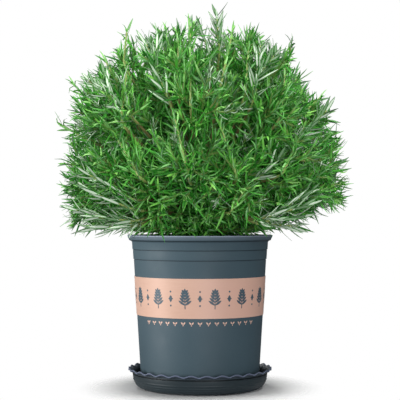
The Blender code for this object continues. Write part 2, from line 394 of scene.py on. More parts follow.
def saucerOutline():
    # the wall bows out from the base in a quarter ellipse, with fine ribs round it
    edgeZ = saucerHigh.z - saucer["rise"]
    underZ = edgeZ - saucer["flangeDepth"]
    bow = saucer["wallRadius"] - saucer["baseRadius"]
    points = [(0.0, 0.0)]
    steps = 40
    for i in range(steps + 1):
        turn = math.pi / 2 * i / steps
        up = i / steps
        rib = max(0.0, math.sin(math.tau * saucer["ribs"] * (up - 0.35) / 0.5)) if 0.35 < up < 0.85 else 0.0
        r = saucer["baseRadius"] + bow * math.sin(turn) + saucer["ribDepth"] * rib
        points.append((r, underZ * (1.0 - math.cos(turn))))
    # a groove, then a bead, then the flange that carries the wavy edge
    grooveR = saucer["wallRadius"] - saucer["grooveDepth"]
    points.append((saucer["wallRadius"] + 0.0003, underZ + 0.0001))
    points.append((grooveR, underZ + 0.0004))
    points.append((grooveR, underZ + 0.0014))
    points += arc(saucer["wallRadius"] + 0.0004, underZ + 0.0020, 0.0006, -90, 60, 5)
    edgeR = saucerHigh.x
    points.append((edgeR - 0.0009, edgeZ - 0.0011))
    points += arc(edgeR - 0.0007, edgeZ - 0.0004, 0.0007, -60, 100, 6)
    points.append((saucer["wallRadius"] - 0.0004, edgeZ - 0.0012))
    for i in range(12, -1, -1):
        turn = math.pi / 2 * i / 12
        r = saucer["baseRadius"] - saucer["wall"] + bow * math.sin(turn)
        rise = (underZ - saucer["floor"]) * (1.0 - math.cos(turn))
        points.append((r, saucer["floor"] + rise))
    points.append((0.0, saucer["floor"]))
    return points


def scallopTree(values):
    # lifts the edge in waves, and marks how near each point is to the edge
    tree, given, out = newTree("scallops", values)
    place = positionParts(tree)
    turn = minus(tree, calc(tree, "ARCTAN2", place["Y"], place["X"]), given["First Crest"])
    outward = spread(tree, distanceOut(tree, place), given["Wall Radius"], given["Edge Radius"])
    wave = calc(tree, "COSINE", times(tree, turn, given["Scallops"]))
    # crests are round and hollows tighter
    crest = calc(tree, "POWER", calc(tree, "MULTIPLY_ADD", wave, 0.5, 0.5), 0.75)
    wave = calc(tree, "MULTIPLY_ADD", crest, 2.0, -1.0)
    lift = times(tree, wave, given["Rise"], outward)
    marked = stored(tree, given["Geometry"], "edgeNear", outward)
    tree.links.new(shifted(tree, marked, Offset=combined(tree, Z=lift)), out["Geometry"])
    return tree


def saucerPlastic():
    material, tree, sockets = newMaterial("darkSaucerPlastic", specular=0.3)
    colour = patchy(tree, 14.0, 3.0, (0.019, 0.030, 0.036), (0.026, 0.040, 0.048))
    # painted light: the flange under the edge is painted paler as if lit, above a groove painted dark as
    # shade
    height = objectParts(tree)["Z"]
    underZ = saucerHigh.z - saucer["rise"] - saucer["flangeDepth"]
    flange = spread(tree, height, underZ + 0.0014, underZ + 0.0022, smooth=True)
    colour = tinted(tree, colour, flange, 0.45, (0.085, 0.112, 0.140))
    near = calc(tree, "ABSOLUTE", minus(tree, height, underZ + 0.0008))
    groove = spread(tree, near, 0.0013, 0.0006, smooth=True)
    colour = tinted(tree, colour, groove, 0.8, (0.005, 0.009, 0.012))
    # painted highlight along the wavy edge
    edgeHighlight = spread(tree, attribute(tree, "edgeNear"), 0.45, 0.9, smooth=True)
    colour = tinted(tree, colour, edgeHighlight, 0.8, (0.17, 0.20, 0.30))
    tree.links.new(colour, sockets["Base Color"])
    tree.links.new(spread(tree, noise(tree, 60.0, 4.0), 0.3, 0.7, 0.44, 0.54), sockets["Roughness"])
    bumped(tree, sockets, noise(tree, 1200.0, 2.0), 0.25, 0.00006)
    return material


def makeSaucer(material):
    mesh = turned("saucerTurned", saucerOutline(), saucer["scallops"] * saucer["turnSteps"])
    mesh.materials.append(material)
    values = {
        "Scallops": float(saucer["scallops"]),
        "Rise": saucer["rise"],
        "Wall Radius": saucer["wallRadius"],
        "Edge Radius": saucerHigh.x,
        "First Crest": saucer["firstCrest"],
    }
    piece = grown("saucer", mesh, scallopTree(values), values)
    piece.name = "saucerDish"
    return finished(piece, "saucer", sharp=60)


band = {
    "turns": 192,
    "thickness": 0.0003,
    "standoff": 0.0003,
    "sprigs": 14,
    "sprigHeight": 0.023,
    "printDepth": 0.00012,
    "printLift": 0.00002,
    "sprouts": 15,
    "sproutHeight": 0.0050,
    "sproutDrop": 0.0056,
    "sproutArc": math.radians(104),
}


def bandRadius(z):
    return potRadius(z) + band["standoff"] + band["thickness"]


def foilMaterial():
    material, tree, sockets = newMaterial("roseGoldFoil", metallic=0.05)
    brushed = noise(tree, 60.0, 4.0, 0.6, vector=squashedPlace(tree, (1.0, 1.0, 28.0)))
    colour = patchy(tree, 12.0, 2.0, (0.72, 0.445, 0.330), (0.79, 0.495, 0.385))
    colour = tinted(tree, colour, spread(tree, brushed, 0.35, 0.7), 0.25, (0.92, 0.64, 0.51))
    # painted sheen: the foil is painted paler and pinker towards +X, for the light it reflects on that side
    side = objectParts(tree)["X"]
    colour = mixed(tree, spread(tree, side, -0.04, 0.045, 0.0, 0.9, smooth=True), colour, (1.0, 0.60, 0.47))
    tree.links.new(colour, sockets["Base Color"])
    tree.links.new(spread(tree, brushed, 0.3, 0.7, 0.46, 0.58), sockets["Roughness"])
    bumped(tree, sockets, brushed, 0.12, 0.00008)
    return material


def inkMaterial(name, colour):
    material, tree, sockets = newMaterial(name)
    thin = spread(tree, noise(tree, 700.0, 3.0), 0.35, 0.7)
    lighter = tuple(min(1.0, c * 1.35) for c in colour)
    tree.links.new(mixed(tree, thin, colour, lighter), sockets["Base Color"])
    return material


def makeBand(material):
    low, high = bandLow.z, bandHigh.z
    inner, outer = potRadius(low) + band["standoff"], potRadius(high) + band["standoff"]
    thick = band["thickness"]
    edge = 0.0001
    outline = [(inner, low), (inner + thick - edge, low), (inner + thick, low + edge)]
    outline += [(outer + thick, high - edge), (outer + thick - edge, high), (outer, high)]
    mesh = turned("foilBand", outline, band["turns"], closed=True)
    return finished(newPiece("foilBand", mesh, material), "label_band", sharp=40)


def flatLeaf(bm, x, z, length, width, lean):
    # a pointed oval in the XZ plane, from its foot at (x, z), leaning from upright
    steps = 8
    outline = []
    for side in (1.0, -1.0):
        for i in range(steps):
            along = i / steps if side > 0 else 1.0 - i / steps
            half = side * width / 2.0 * math.sin(math.pi * along) ** 0.8
            outline.append((half, along * length))
    corners = []
    for across, up in outline:
        turnX = across * math.cos(lean) + up * math.sin(lean)
        turnZ = -across * math.sin(lean) + up * math.cos(lean)
        corners.append(bm.verts.new((x + turnX, 0.0, z + turnZ)))
    bm.faces.new(corners)


def flatBar(bm, x, low, high, width):
    half = width / 2.0
    places = [(x - half, low), (x + half, low), (x + half * 0.6, high), (x - half * 0.6, high)]
    bm.faces.new([bm.verts.new((px, 0.0, pz)) for px, pz in places])


def sprigMesh(height):
    # an upright sprig: a stem, pairs of leaves and one at the top
    bm = bmesh.new()
    flatBar(bm, 0.0, -height / 2.0, height * 0.28, height * 0.045)
    pairs = 5
    for i in range(pairs):
        up = -height * 0.32 + height * 0.135 * i
        size = height * (0.40 - 0.034 * i)
        for lean in (54 - 5 * i, -54 + 5 * i):
            flatLeaf(bm, 0.0, up, size, height * 0.115, math.radians(lean))
    flatLeaf(bm, 0.0, height * 0.20, height * 0.30, height * 0.13, 0.0)
    return meshFrom(bm, "sprigPrint")


def diamondMesh(height):
    bm = bmesh.new()
    flatLeaf(bm, 0.0, -height * 0.17, height * 0.34, height * 0.16, 0.0)
    flatLeaf(bm, -height * 0.13, 0.0, height * 0.26, height * 0.10, math.radians(90))
    for up in (-0.34, 0.34):
        flatLeaf(bm, 0.0, height * (up - 0.05), height * 0.10, height * 0.09, 0.0)
    return meshFrom(bm, "diamondPrint")


def sproutMesh(height):
    # two leaves over a seed
    bm = bmesh.new()
    for side in (-1.0, 1.0):
        lean = math.radians(side * 38)
        flatLeaf(bm, side * height * 0.06, -height * 0.2, height * 0.7, height * 0.34, lean)
    flatLeaf(bm, 0.0, -height * 0.55, height * 0.30, height * 0.26, 0.0)
    return meshFrom(bm, "sproutPrint")


def printTree(material, values):
    # lays copies of a flat print side by side, wraps the row round the cone and gives it a thickness
    tree, given, out = newTree("wrappedPrint", values)
    step = calc(tree, "DIVIDE", given["Arc"], given["Count"])
    stride = times(tree, step, given["Radius"])
    first = times(tree, given["Start"], given["Radius"])
    inputs = {
        "Count": given["Count"],
        "Start Location": combined(tree, X=first),
        "Offset": combined(tree, X=stride),
    }
    row = add(tree, "GeometryNodeMeshLine", inputs, mode="OFFSET").outputs[0]
    inputs = {"Points": row, "Instance": given["Geometry"]}
    flat = realized(tree, add(tree, "GeometryNodeInstanceOnPoints", inputs).outputs[0])
    place = positionParts(tree)
    turn = calc(tree, "DIVIDE", place["X"], given["Radius"])
    radius = calc(tree, "MULTIPLY_ADD", place["Z"], given["Taper"], given["Radius"])
    around = combined(
        tree,
        X=times(tree, radius, calc(tree, "SINE", turn)),
        Y=times(tree, radius, times(tree, calc(tree, "COSINE", turn), -1.0)),
        Z=plus(tree, place["Z"], given["Height"]),
    )
    wrapped = shifted(tree, flat, Position=around)
    inputs = {"Mesh": wrapped, "Offset Scale": given["Depth"], "Individual": False}
    proud = add(tree, "GeometryNodeExtrudeMesh", inputs).outputs[0]
    back = add(tree, "GeometryNodeFlipFaces", {"Mesh": wrapped}).outputs[0]
    inputs = {"Geometry": joined(tree, proud, back), "Distance": 0.000002}
    closed = add(tree, "GeometryNodeMergeByDistance", inputs).outputs[0]
    tree.links.new(painted(tree, closed, material), out["Geometry"])
    return tree


def makePrints(ink, blush):
    middle = (bandLow.z + bandHigh.z) / 2.0
    values = {
        "Count": band["sprigs"],
        "Arc": math.tau,
        "Start": -math.pi / band["sprigs"],
        "Height": middle,
        "Radius": bandRadius(middle) + band["printLift"],
        "Taper": pot["taper"],
        "Depth": band["printDepth"],
    }
    tree = printTree(ink, values)
    between = {**values, "Start": 0.0}
    rows = [("sprigPrints", sprigMesh(band["sprigHeight"]), tree, values, "pot_plastic")]
    rows.append(("diamondPrints", diamondMesh(band["sprigHeight"]), tree, between, "pot_plastic"))
    rowZ = bandLow.z - band["sproutDrop"]
    values = {
        **values,
        "Count": band["sprouts"],
        "Arc": band["sproutArc"] * band["sprouts"] / (band["sprouts"] - 1),
        "Start": -band["sproutArc"] / 2.0,
        "Height": rowZ,
        "Radius": potRadius(rowZ) + band["printLift"],
    }
    sprouts = sproutMesh(band["sproutHeight"])
    rows.append(("sproutPrints", sprouts, printTree(blush, values), values, "rose_gold_foil"))
    for name, mesh, tree, values, slot in rows:
        finished(grown(name, mesh, tree, values), None, sharp=30)


bush = {
    "heart": Vector((0.0, 0.0, 0.188)),
    "side": 0.150,
    "top": 0.226,
    "shoulder": 1.12,
    "power": 1.2,
    "archLift": 0.016,
    "archSpan": 0.170,
    "bareUntil": 0.22,
    "leafyWithin": 0.12,
    "stemFoot": 0.6,
    "sway": (0.003, 0.008),
    "waves": (0.8, 1.6),
    "sideShoots": 13,
    "firstSide": 0.13,
    "lastSide": 0.96,
    "crowding": 0.75,
    "sideLengths": (0.082, 0.046),
    "sideTurn": math.radians(137.5),
    "sideLean": (36.0, 56.0),    # degrees away from the stem it leaves
    "trim": (0.97, 1.05),        # where a side shoot stops, as a share of the crown's reach
    "lift": {"lower": 0.14, "middle": 0.30, "upper": 0.30},
    "twigs": 3,
    "twigTurn": 2.4,
    "twigShare": 0.48,
    "silverShare": 0.05,         # shoots that show the pale side of their leaves
    "clearLip": 0.196,           # lowest stems over the lip, beyond it, and beyond it on the right
    "clearAir": 0.188,
    "clearRight": 0.220,
    # a direction and how deep the crown is dented there
    "dents": (((-0.954, 0.0, 0.299), 0.15), ((0.728, 0.0, 0.686), 0.08), ((-0.563, 0.0, 0.827), 0.05)),
    "dentPower": 16,
    "freeReach": 0.03,
    "lipReach": 0.105,
    "lipFade": 0.04,
    "rightFade": 0.11,
    "skirt": {"turn": (0.12, 0.34), "reach": (0.092, 0.130), "tip": (0.190, 0.206), "rise": 0.006},
    "mouth": {"reach": (0.050, 0.068), "foot": (0.176, 0.184), "tip": (0.190, 0.204), "dip": (-0.002, 0.004)},
    "seed": 11,
}


def held(value):
    # kept between 0 and 1
    return min(1.0, max(0.0, value))


def crownReach(direction):
    # a rounded dome, a little thin in places
    up = held(direction.z * bush["shoulder"])
    reach = bush["side"] + (bush["top"] - bush["side"]) * up ** bush["power"]
    for way, depth in bush["dents"]:
        reach *= 1.0 - depth * max(0.0, direction.dot(Vector(way))) ** bush["dentPower"]
    return reach


def insideCrown(point, slack):
    away = point - bush["heart"]
    return away.length < crownReach(away.normalized()) * slack


def lifted(point):
    # keeps a stem clear of the lip of the pot, so that its leaves lie on the lip at the lowest
    reach = math.hypot(point.x, point.y)
    near = held((reach - bush["lipReach"]) / bush["lipFade"])
    rightness = held(point.x / bush["rightFade"])
    inAir = bush["clearAir"] + (bush["clearRight"] - bush["clearAir"]) * rightness
    lowest = bush["clearLip"] + (inAir - bush["clearLip"]) * near
    if reach > bush["freeReach"] and point.z < lowest:
        point.z = lowest
    return point


def archLift(point):
    along = min(1.0, math.hypot(point.x, point.y) / bush["archSpan"])
    return bush["archLift"] * math.sin(math.pi * along) ** 2


def stemOf(points, thick, leafy, youth, age, thin=0.0006, fade=1.0, density=1.0, silver=0.0, span=None):
    # leaves start after leafy[0] points and are full leafy[1] points later, and the young tint starts
    # youth[0] of the way along and grows by youth[1]
    count = len(points)
    shares = [i / (span or count) for i in range(count)]
    return {
        "points": points,
        "sizes": [thick - thin * share for share in shares],
        "leafy": [density * held((i - leafy[0]) / leafy[1]) for i in range(count)],
        "youth": [max(0.0, share - youth[0]) * youth[1] for share in shares],
        "age": [age * max(0.0, 1.0 - fade * share) for share in shares],
        "silver": [silver] * count,
    }


def mainStem(name, chance):
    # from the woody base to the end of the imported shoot, with a slight sway
    places = [vertex.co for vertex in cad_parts[name].data.vertices]
    start = min(places, key=lambda p: (p - bush["heart"]).length)
    tip = max(places, key=lambda p: (p - bush["heart"]).length)
    away = tip - bush["heart"]
    tip = bush["heart"] + away.normalized() * min(away.length, crownReach(away.normalized()) * 1.02)
    start = bush["heart"].lerp(start, bush["stemFoot"])
    axis = (tip - start).normalized()
    sideways = axis.orthogonal().normalized()
    sideways.rotate(Quaternion(axis, chance.uniform(0.0, math.tau)))
    sway = chance.uniform(*bush["sway"])
    waves = chance.uniform(*bush["waves"])
    steps = 30
    points = []
    for i in range(steps + 1):
        t = i / steps
        point = start.lerp(tip, t)
        point.z += archLift(point) - t * archLift(tip)
        point += sideways * sway * math.sin(math.pi * t * waves) * math.sin(math.pi * t)
        points.append(lifted(point) if t > 0.15 else point)
    leafy = (bush["bareUntil"] * steps, bush["leafyWithin"] * steps)
    return stemOf(points, 0.0021, leafy, youth=(0.75, 2.4), age=1.0, thin=0.0011, fade=1.25, span=steps)


def sideStem(main, t, turn, length, lift, chance):
    place = t * (len(main["points"]) - 1)
    i = min(int(place), len(main["points"]) - 2)
    start = main["points"][i].lerp(main["points"][i + 1], place - i)
    axis = (main["points"][i + 1] - main["points"][i]).normalized()
    across = axis.orthogonal().normalized()
    across.rotate(Quaternion(axis, turn))
    lean = math.radians(chance.uniform(*bush["sideLean"]))
    first = axis * math.cos(lean) + across * math.sin(lean)
    last = (first * 0.6 + axis * 0.25 + Vector((0.0, 0.0, lift))).normalized()
    knee = start + first * length * 0.5
    tip = knee + last * length * 0.5
    steps = max(6, round(length / 0.005))
    points = []
    for j in range(steps + 1):
        u = j / steps
        point = lifted(start.lerp(knee, u).lerp(knee.lerp(tip, u), u))
        if j > 3 and not insideCrown(point, chance.uniform(*bush["trim"])):
            break
        points.append(point)
    age = max(0.0, 0.55 - t) * chance.uniform(0.3, 1.4)
    silver = 1.0 if chance.random() < bush["silverShare"] else 0.0
    return stemOf(points, 0.0013, leafy=(0, 1), youth=(0.55, 1.9), age=age, silver=silver)


def mouthStem(way, chance):
    # a short sprig low in the mouth of the pot, turned up at its end
    mouth = bush["mouth"]
    reach = chance.uniform(*mouth["reach"])
    outward = Vector((math.cos(way), math.sin(way), 0.0))
    foot = outward * 0.008 + Vector((0.0, 0.0, chance.uniform(*mouth["foot"])))
    knee = outward * reach * 0.6 + Vector((0.0, 0.0, foot.z + chance.uniform(*mouth["dip"])))
    tip = outward * reach + Vector((0.0, 0.0, chance.uniform(*mouth["tip"])))
    count = 13
    points = []
    for i in range(count):
        t = i / (count - 1)
        points.append(foot.lerp(knee, t).lerp(knee.lerp(tip, t), t))
    return stemOf(points, 0.0014, leafy=(1, 1), youth=(0.6, 1.5), age=0.6, density=0.9)


def skirtStem(main, turn, chance):
    # a low sprig that runs out over the lip, beside the main stem it leaves
    start = main["points"][3]
    end = main["points"][-1]
    way = math.atan2(end.y, end.x) + turn
    reach = chance.uniform(*bush["skirt"]["reach"])
    tipZ = chance.uniform(*bush["skirt"]["tip"])
    target = Vector((reach * math.cos(way), reach * math.sin(way), tipZ))
    steps = 14
    points = []
    for i in range(steps + 1):
        t = i / steps
        point = start.lerp(target, t)
        point.z += bush["skirt"]["rise"] * math.sin(math.pi * t)
        points.append(lifted(point))
    return stemOf(points, 0.0013, leafy=(0, 4), youth=(0.5, 1.8), age=0.5)


def skeletonMesh(name, stems, labels=("sizes", "leafy", "youth", "age", "silver")):
    mesh = bpy.data.meshes.new(name)
    points = []
    edges = []
    for stem in stems:
        first = len(points)
        points += stem["points"]
        edges += [(i, i + 1) for i in range(first, len(points) - 1)]
    mesh.from_pydata(points, edges, [])
    for label in labels:
        values = [value for stem in stems for value in stem[label]]
        mesh.attributes.new(label, "FLOAT", "POINT").data.foreach_set("value", values)
    return mesh


leaf = {
    "thickness": 0.00036,
    "roll": 0.6,
    "bends": (-0.6, 0.1, 0.4, 0.9, 2.0),
    "usual": {
        "Leaf Spacing": 0.0054,
        "Leaf Length": 0.0245,
        "Leaf Width": 0.0022,
        "Base Angle": math.radians(62),
        "Tip Angle": math.radians(24),
        "Axil Size": 0.5,
        "Tip Size": 0.6,
        "Bend": 1.0,
        "Twist": 0.9,
        "Seed": 0,
    },
}


def leafShape(tree, given, bend):
    # a narrow blade up +Z, its upper face towards -X, bent along a round arc
    inputs = {"Vertices": 4, "Side Segments": 3, "Radius": 1.0, "Depth": 1.0}
    blank = add(tree, "GeometryNodeMeshCylinder", inputs, fill_type="NGON").outputs["Mesh"]
    place = positionParts(tree)
    along = plus(tree, place["Z"], 0.5)
    bulge = calc(tree, "SINE", calc(tree, "MULTIPLY_ADD", along, 0.80 * math.pi, 0.18 * math.pi))
    bulge = calc(tree, "POWER", calc(tree, "MAXIMUM", bulge, 0.02), 0.7)
    half = times(tree, bulge, given["Leaf Width"], 0.5)
    thick = times(tree, bulge, place["Y"], -leaf["thickness"] / 2.0)
    # the margins roll under
    margin = calc(tree, "POWER", calc(tree, "ABSOLUTE", place["X"]), 2.0)
    thick = calc(tree, "MULTIPLY_ADD", margin, leaf["thickness"] * leaf["roll"], thick)
    bend = times(tree, given["Bend"], bend)
    turn = times(tree, along, bend)
    span = calc(tree, "DIVIDE", given["Leaf Length"], bend)
    x = times(tree, minus(tree, calc(tree, "COSINE", turn), 1.0), span)
    x = calc(tree, "MULTIPLY_ADD", thick, calc(tree, "COSINE", turn), x)
    z = times(tree, calc(tree, "SINE", turn), plus(tree, span, thick))
    there = combined(tree, X=x, Y=times(tree, half, place["X"]), Z=z)
    marked = stored(tree, blank, "leafAcross", place["X"])
    marked = stored(tree, marked, "leafFace", place["Y"])
    shaped = shifted(tree, marked, Position=there)
    return add(tree, "GeometryNodeGeometryToInstance", {"Geometry": shaped}).outputs[0]


def turnedBy(tree, rotation, axis, angle):
    by = add(tree, "FunctionNodeAxisAngleToRotation", {"Axis": axis, "Angle": angle}).outputs[0]
    return add(tree, "FunctionNodeRotateRotation", {0: rotation, 1: by}, rotation_space="LOCAL").outputs[0]


def seeded(tree, given, low, high, step):
    return chanceValue(tree, low, high, plus(tree, given["Seed"], step))


def leafTurn(tree, given, rotation, twin, axil):
    # each pair stands across the one before it, and leans in towards the tip
    crossed = times(tree, calc(tree, "FLOORED_MODULO", named(tree, "pairIndex"), 2.0), math.pi / 2)
    around = calc(tree, "MULTIPLY_ADD", twin, math.pi, crossed)
    around = plus(tree, around, seeded(tree, given, -0.5, 0.5, 1.0))
    lean = spread(tree, named(tree, "shootAlong"), 0.1, 1.0, given["Base Angle"], given["Tip Angle"])
    lean = plus(tree, lean, seeded(tree, given, -0.26, 0.26, 2.0))
    lean = times(tree, lean, spread(tree, axil, 0.0, 1.0, 1.0, 0.62))
    turn = turnedBy(tree, rotation, (0.0, 0.0, 1.0), around)
    turn = turnedBy(tree, turn, (0.0, 1.0, 0.0), lean)
    twist = times(tree, seeded(tree, given, -1.0, 1.0, 7.0), given["Twist"])
    return turnedBy(tree, turn, (0.0, 0.0, 1.0), twist)


def leafSize(tree, given, axil):
    # leaves are shorter at the tip and in the axils
    shorter = spread(tree, named(tree, "shootAlong"), 0.8, 1.0, 1.0, given["Tip Size"])
    shorter = times(tree, shorter, spread(tree, axil, 0.0, 1.0, 1.0, given["Axil Size"]))
    size = times(tree, seeded(tree, given, 0.78, 1.14, 3.0), shorter)
    return size, seeded(tree, given, 0.85, 1.15, 4.0)


def shootTree(leafMaterial, stemMaterial):
    # sweeps each line into a stem, and sets leaves along it in crossed pairs
    tree, given, out = newTree("leafyShoot", leaf["usual"])
    lines = add(tree, "GeometryNodeMeshToCurve", {"Mesh": given["Geometry"]}).outputs[0]
    stems = painted(tree, swept(tree, lines, 5), stemMaterial)

    inputs = {"Curve": lines, "Length": given["Leaf Spacing"]}
    spaced = add(tree, "GeometryNodeResampleCurve", inputs, mode="LENGTH").outputs[0]
    along = add(tree, "GeometryNodeSplineParameter").outputs
    spaced = stored(tree, spaced, "shootAlong", along["Factor"])
    spaced = stored(tree, spaced, "pairIndex", along["Index"])
    points = add(tree, "GeometryNodeCurveToPoints", {"Curve": spaced}, mode="EVALUATED").outputs
    inputs = {"Geometry": points["Points"], "Amount": 4}
    twins = add(tree, "GeometryNodeDuplicateElements", inputs, domain="POINT").outputs
    seed = given["Seed"]
    # of the four at each joint, two are full leaves and two are young ones in their axils
    axil = calc(tree, "GREATER_THAN", twins[1], 1.5)
    toned = stored(tree, twins[0], "leafTone", chanceValue(tree, 0.0, 1.0, seed))
    toned = stored(tree, toned, "youth", calc(tree, "MULTIPLY_ADD", axil, 0.35, named(tree, "youth")))

    turn = leafTurn(tree, given, points["Rotation"], twins[1], axil)
    size, width = leafSize(tree, given, axil)
    shapes = joined(tree, *(leafShape(tree, given, bend) for bend in leaf["bends"]))
    inputs = {4: 0, 5: len(leaf["bends"]) - 1, "Seed": plus(tree, seed, 5.0)}
    pick = add(tree, "FunctionNodeRandomValue", inputs, data_type="INT").outputs[2]
    dice = seeded(tree, given, 0.02, 0.98, 6.0)
    grows = add(tree, "FunctionNodeCompare", {0: named(tree, "leafy"), 1: dice}, operation="GREATER_THAN")
    inputs = {
        "Points": toned,
        "Selection": grows.outputs[0],
        "Instance": shapes,
        "Pick Instance": True,
        "Instance Index": pick,
        "Rotation": turn,
        "Scale": combined(tree, X=size, Y=width, Z=size),
    }
    leaves = realized(tree, add(tree, "GeometryNodeInstanceOnPoints", inputs).outputs[0])
    tree.links.new(joined(tree, stems, painted(tree, leaves, leafMaterial)), out["Geometry"])
    return tree


def leafMaterial():
    material, tree, sockets = newMaterial("rosemaryLeaf", specular=0.22)
    tone = attribute(tree, "leafTone")
    stops = [
        (0.0, (0.010, 0.150, 0.009)),
        (0.35, (0.034, 0.290, 0.022)),
        (0.8, (0.105, 0.520, 0.060)),
        (1.0, (0.210, 0.680, 0.110)),
    ]
    colour = ramp(tree, tone, stops)
    young = calc(tree, "MULTIPLY", attribute(tree, "youth"), spread(tree, tone, 0.2, 1.0), clamp=True)
    colour = mixed(tree, young, colour, (0.34, 0.70, 0.13))
    across = calc(tree, "ABSOLUTE", attribute(tree, "leafAcross"))
    # on a silver shoot, about two leaves in three show their striped side, and the rest are dark
    silver = attribute(tree, "silver")
    colour = tinted(tree, colour, silver, 0.8, (0.032, 0.17, 0.020))
    silver = times(tree, silver, spread(tree, tone, 0.32, 0.42))
    stripe = spread(tree, across, 0.74, 0.46, smooth=True)
    under = spread(tree, attribute(tree, "leafFace"), 0.0, -0.2, smooth=True)
    under = times(tree, under, spread(tree, silver, 0.0, 1.0, 0.25, 0.95))
    # a shoot that shows its silver side is pale on both faces
    pale = times(tree, stripe, calc(tree, "MAXIMUM", under, times(tree, silver, 0.8)))
    colour = mixed(tree, pale, colour, (0.74, 0.85, 0.70))
    ribShare = spread(tree, silver, 0.0, 1.0, 0.3, 0.1)
    rib = times(tree, spread(tree, across, 0.22, 0.05, smooth=True), ribShare)
    colour = mixed(tree, rib, colour, (0.22, 0.42, 0.13))
    tree.links.new(colour, sockets["Base Color"])
    bumped(tree, sockets, noise(tree, 1500.0, 2.0), 0.2, 0.0001)
    return material


def stemMaterial():
    material, tree, sockets = newMaterial("rosemaryStem", roughness=0.6)
    stops = [
        (0.0, (0.24, 0.41, 0.10)),
        (0.14, (0.36, 0.43, 0.13)),
        (0.50, (0.26, 0.19, 0.080)),
        (1.0, (0.080, 0.048, 0.028)),
    ]
    colour = ramp(tree, attribute(tree, "age"), stops)
    streak = spread(tree, noise(tree, 260.0, 4.0, 0.6), 0.35, 0.7)
    colour = tinted(tree, colour, streak, 0.35, (0.14, 0.085, 0.04))
    tree.links.new(colour, sockets["Base Color"])
    bumped(tree, sockets, noise(tree, 500.0, 4.0), 0.4, 0.0003)
    return material


# sprigs that stand in front of the rest: where each leaves the bush, and where it ends
silverSprigs = {
    "crownTop": ((0.022, -0.075, 0.378), (0.019, -0.045, 0.427)),
    "crownTopLeft": ((0.014, -0.078, 0.372), (0.001, -0.050, 0.410)),
    "topLeft": ((-0.032, -0.140, 0.320), (-0.060, -0.085, 0.392)),
    "topLeftFork": ((-0.048, -0.120, 0.360), (-0.046, -0.085, 0.398)),
    "shoulderLeft": ((-0.072, -0.130, 0.305), (-0.127, -0.055, 0.354)),
    "shoulderLeftFork": ((-0.095, -0.108, 0.325), (-0.108, -0.060, 0.362)),
    "topRight": ((0.057, -0.130, 0.319), (0.067, -0.080, 0.388)),
    "topRightFork": ((0.062, -0.115, 0.350), (0.084, -0.075, 0.380)),
    "shoulderRight": ((0.062, -0.142, 0.238), (0.142, -0.060, 0.318)),
    "sideLeft": ((-0.067, -0.138, 0.215), (-0.122, -0.122, 0.246)),
    "lowLeft": ((-0.061, -0.140, 0.190), (-0.132, -0.120, 0.206)),
    "lowLeftFork": ((-0.061, -0.140, 0.189), (-0.118, -0.128, 0.188)),
    "lowLeftFront": ((-0.064, -0.142, 0.194), (-0.112, -0.138, 0.199)),
    "sideLeftFront": ((-0.062, -0.142, 0.203), (-0.116, -0.132, 0.226)),
    "lowRight": ((0.063, -0.138, 0.193), (0.116, -0.122, 0.224)),
    "lowRightFork": ((0.057, -0.140, 0.192), (0.103, -0.130, 0.189)),
    "lowRightFront": ((0.061, -0.142, 0.196), (0.108, -0.135, 0.210)),
    "lowRightTip": ((0.060, -0.142, 0.193), (0.106, -0.132, 0.199)),
}
uprightSprigs = [
    ((-0.010, -0.150, 0.310), (-0.011, -0.075, 0.410)),
    ((-0.024, -0.140, 0.330), (-0.024, -0.080, 0.396)),
    ((-0.036, -0.135, 0.335), (-0.038, -0.070, 0.404)),
    ((0.018, -0.150, 0.320), (0.036, -0.070, 0.404)),
    ((0.048, -0.130, 0.325), (0.054, -0.075, 0.390)),
    ((0.086, -0.120, 0.300), (0.096, -0.070, 0.372)),
    ((-0.085, -0.130, 0.296), (-0.080, -0.085, 0.366)),
    ((-0.060, -0.155, 0.235), (-0.088, -0.130, 0.282)),
    ((-0.010, -0.168, 0.232), (-0.026, -0.160, 0.300)),
    ((0.040, -0.165, 0.235), (0.022, -0.158, 0.292)),
    ((0.085, -0.145, 0.240), (0.112, -0.112, 0.296)),
    ((0.030, -0.150, 0.200), (0.050, -0.148, 0.232)),
    ((-0.086, -0.060, 0.368), (-0.083, -0.050, 0.408)),
    ((-0.125, -0.040, 0.285), (-0.158, -0.030, 0.304)),
    ((-0.122, -0.040, 0.326), (-0.144, -0.030, 0.350)),
    ((0.098, -0.050, 0.360), (0.104, -0.040, 0.396)),
    ((0.112, -0.050, 0.312), (0.136, -0.040, 0.334)),
    ((-0.092, -0.050, 0.350), (-0.107, -0.040, 0.375)),
]


def frontStem(start, end, silver):
    # out of the woody base to where it shows, then on to its end
    start, end = Vector(start), Vector(end)
    hidden, shown = 12, 14
    points = []
    for i in range(hidden):
        point = bush["heart"].lerp(start, i / hidden)
        point.z += 0.014 * math.sin(math.pi * i / hidden)
        points.append(point)
    points += [start.lerp(end, i / shown) for i in range(shown + 1)]
    for _ in range(4):
        middles = [(a + 2.0 * b + c) / 4.0 for a, b, c in zip(points, points[1:], points[2:])]
        points = [points[0], *middles, points[-1]]
    far = [max(0.0, (i - hidden + 1) / (shown + 1)) for i in range(len(points))]
    stem = stemOf(points, 0.0019, leafy=(0, 1), youth=(0.0, 0.0), age=0.0, thin=0.0011, silver=silver)
    stem["leafy"] = [(1.0 if silver else 0.7 + 0.3 * share) if share > 0.0 else 0.0 for share in far]
    stem["youth"] = [0.0 if silver else 0.25 + 0.35 * share for share in far]
    stem["age"] = [0.10 if share > 0.0 else 0.45 for share in far]
    return stem


